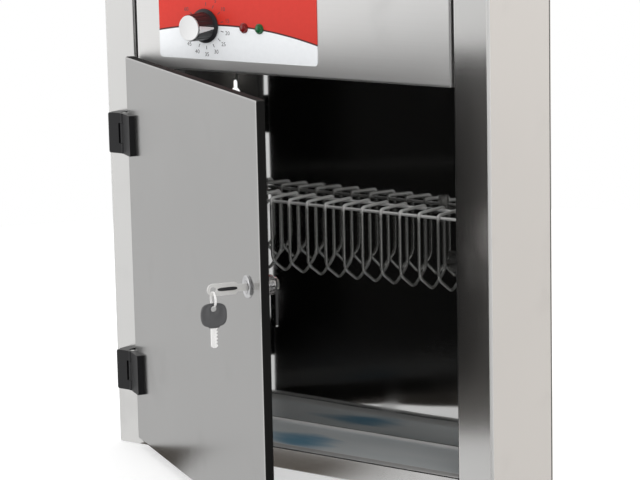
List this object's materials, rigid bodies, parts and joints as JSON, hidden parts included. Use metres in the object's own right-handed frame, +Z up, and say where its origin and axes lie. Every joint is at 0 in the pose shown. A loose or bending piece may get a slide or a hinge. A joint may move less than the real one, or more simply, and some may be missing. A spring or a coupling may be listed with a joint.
{
  "type": "uv knife sterilizer",
  "caption": "Wall-hung stainless cabinet with a hinged, lockable door, an ultraviolet tube, a wire knife rack and a drip tray.",
  "frame": {"origin": "on the wall plane (the back panel's outer face), midway between the two keyhole entries", "axes": "+X to the right seen from the front, +Y into the wall, +Z up; the front faces -Y"},
  "size_m": [0.45, 0.3411, 0.573],
  "materials": {
    "stainless": "brushed",
    "polished_stainless": "mirror polished",
    "door_stainless": "fine brushed",
    "label_print": "printed polyester",
    "screw_steel": "zinc plated",
    "hinge_plastic": "moulded",
    "pin_steel": "ground",
    "lamp_plastic": "moulded",
    "tube_glass": "clear quartz glass",
    "cap_aluminium": "bright rolled",
    "gear_plastic": "moulded",
    "knob_plastic": "satin moulded",
    "knob_cap_silver": "satin disc",
    "red_lens": "translucent",
    "green_lens": "translucent",
    "ballast_steel": "galvanised",
    "gland_plastic": "moulded nylon",
    "wire_steel": "bright drawn wire",
    "magnet_ferrite": "sintered",
    "lock_chrome": "plated",
    "key_nickel": "nickel plated",
    "key_head_plastic": "moulded"
  },
  "bodies": {
    "cabinet": {"side_panel_left": "stainless", "side_panel_right": "stainless", "top_panel": "stainless", "bottom_panel": "stainless", "floor_panel": "stainless", "chamber_ceiling": "stainless", "fascia": "stainless", "rack_hooks": "stainless", "back_panel": "polished_stainless", "control_label": "label_print", "fascia_screws": "screw_steel", "hinge_frame_nuts": "screw_steel", "timer_nut": "screw_steel", "hinge_upper_frame_leaf": "hinge_plastic", "hinge_lower_frame_leaf": "hinge_plastic", "hinge_spacers": "hinge_plastic", "hinge_upper_pin": "pin_steel", "hinge_lower_pin": "pin_steel", "lamp_holder_left": "lamp_plastic", "lamp_holder_right": "lamp_plastic", "starter_socket": "lamp_plastic", "terminal_block": "lamp_plastic", "starter": "lamp_plastic", "uv_tube": "tube_glass", "uv_tube_caps": "cap_aluminium", "lamp_reflector": "cap_aluminium", "timer_body": "gear_plastic", "pilot_bodies": "gear_plastic", "door_reed_switch": "gear_plastic", "pilot_lens_red": "red_lens", "pilot_lens_green": "green_lens", "ballast": "ballast_steel", "cable_gland": "gland_plastic", "gland_nut": "gland_plastic"},
    "door": {"door_skin": "door_stainless", "door_liner": "door_stainless", "door_magnet": "magnet_ferrite", "hinge_upper_door_leaf": "hinge_plastic", "hinge_lower_door_leaf": "hinge_plastic", "hinge_door_nuts": "screw_steel", "lock_housing": "lock_chrome", "lock_nut": "screw_steel"},
    "lock_cylinder": {"lock_plug": "lock_chrome", "lock_cam": "lock_chrome", "cam_screw": "screw_steel", "door_key": "key_nickel"},
    "key_ring": {"key_ring": "lock_chrome"},
    "spare_key": {"spare_key_blade": "key_nickel", "spare_key_head": "key_head_plastic"},
    "timer_knob": {"timer_knob": "knob_plastic", "knob_cap": "knob_cap_silver", "timer_shaft": "pin_steel"},
    "knife_rack": {"rack_rails": "wire_steel", "rack_hoops": "wire_steel"},
    "drip_tray": {"drip_tray": "stainless"}
  },
  "joints": [
    {"name": "door_swing", "type": "hinge", "parent": "cabinet", "child": "door", "pos_m": [-0.195, -0.1145, -0.1475], "axis": [0, 0, -1], "range_deg": [-32.5, 77.5]},
    {"name": "lock_turn", "type": "hinge", "parent": "door", "child": "lock_cylinder", "pos_m": [0.10437, -0.30344, -0.1195], "axis": [-0.5373, -0.8434, 0], "range_deg": [0, 90]},
    {"name": "key_ring_swing", "type": "hinge", "parent": "lock_cylinder", "child": "key_ring", "pos_m": [0.08717, -0.33043, -0.12135], "axis": [0.8434, -0.5373, 0], "range_deg": [-18, 18]},
    {"name": "spare_key_swing", "type": "hinge", "parent": "key_ring", "child": "spare_key", "pos_m": [0.08717, -0.33043, -0.13415], "axis": [0.8434, -0.5373, 0], "range_deg": [-15, 15]},
    {"name": "timer_turn", "type": "hinge", "parent": "cabinet", "child": "timer_knob", "pos_m": [-0.097, -0.1046, 0.0795], "axis": [0, 1, 0], "range_deg": [0, 300]},
    {"name": "rack_lift", "type": "slide", "parent": "cabinet", "child": "knife_rack", "axis": [0, 0, 1], "range_m": [0, 0.012]},
    {"name": "tray_lift", "type": "slide", "parent": "cabinet", "child": "drip_tray", "axis": [0, 0, 1], "range_m": [0, 0.012]}
  ]
}
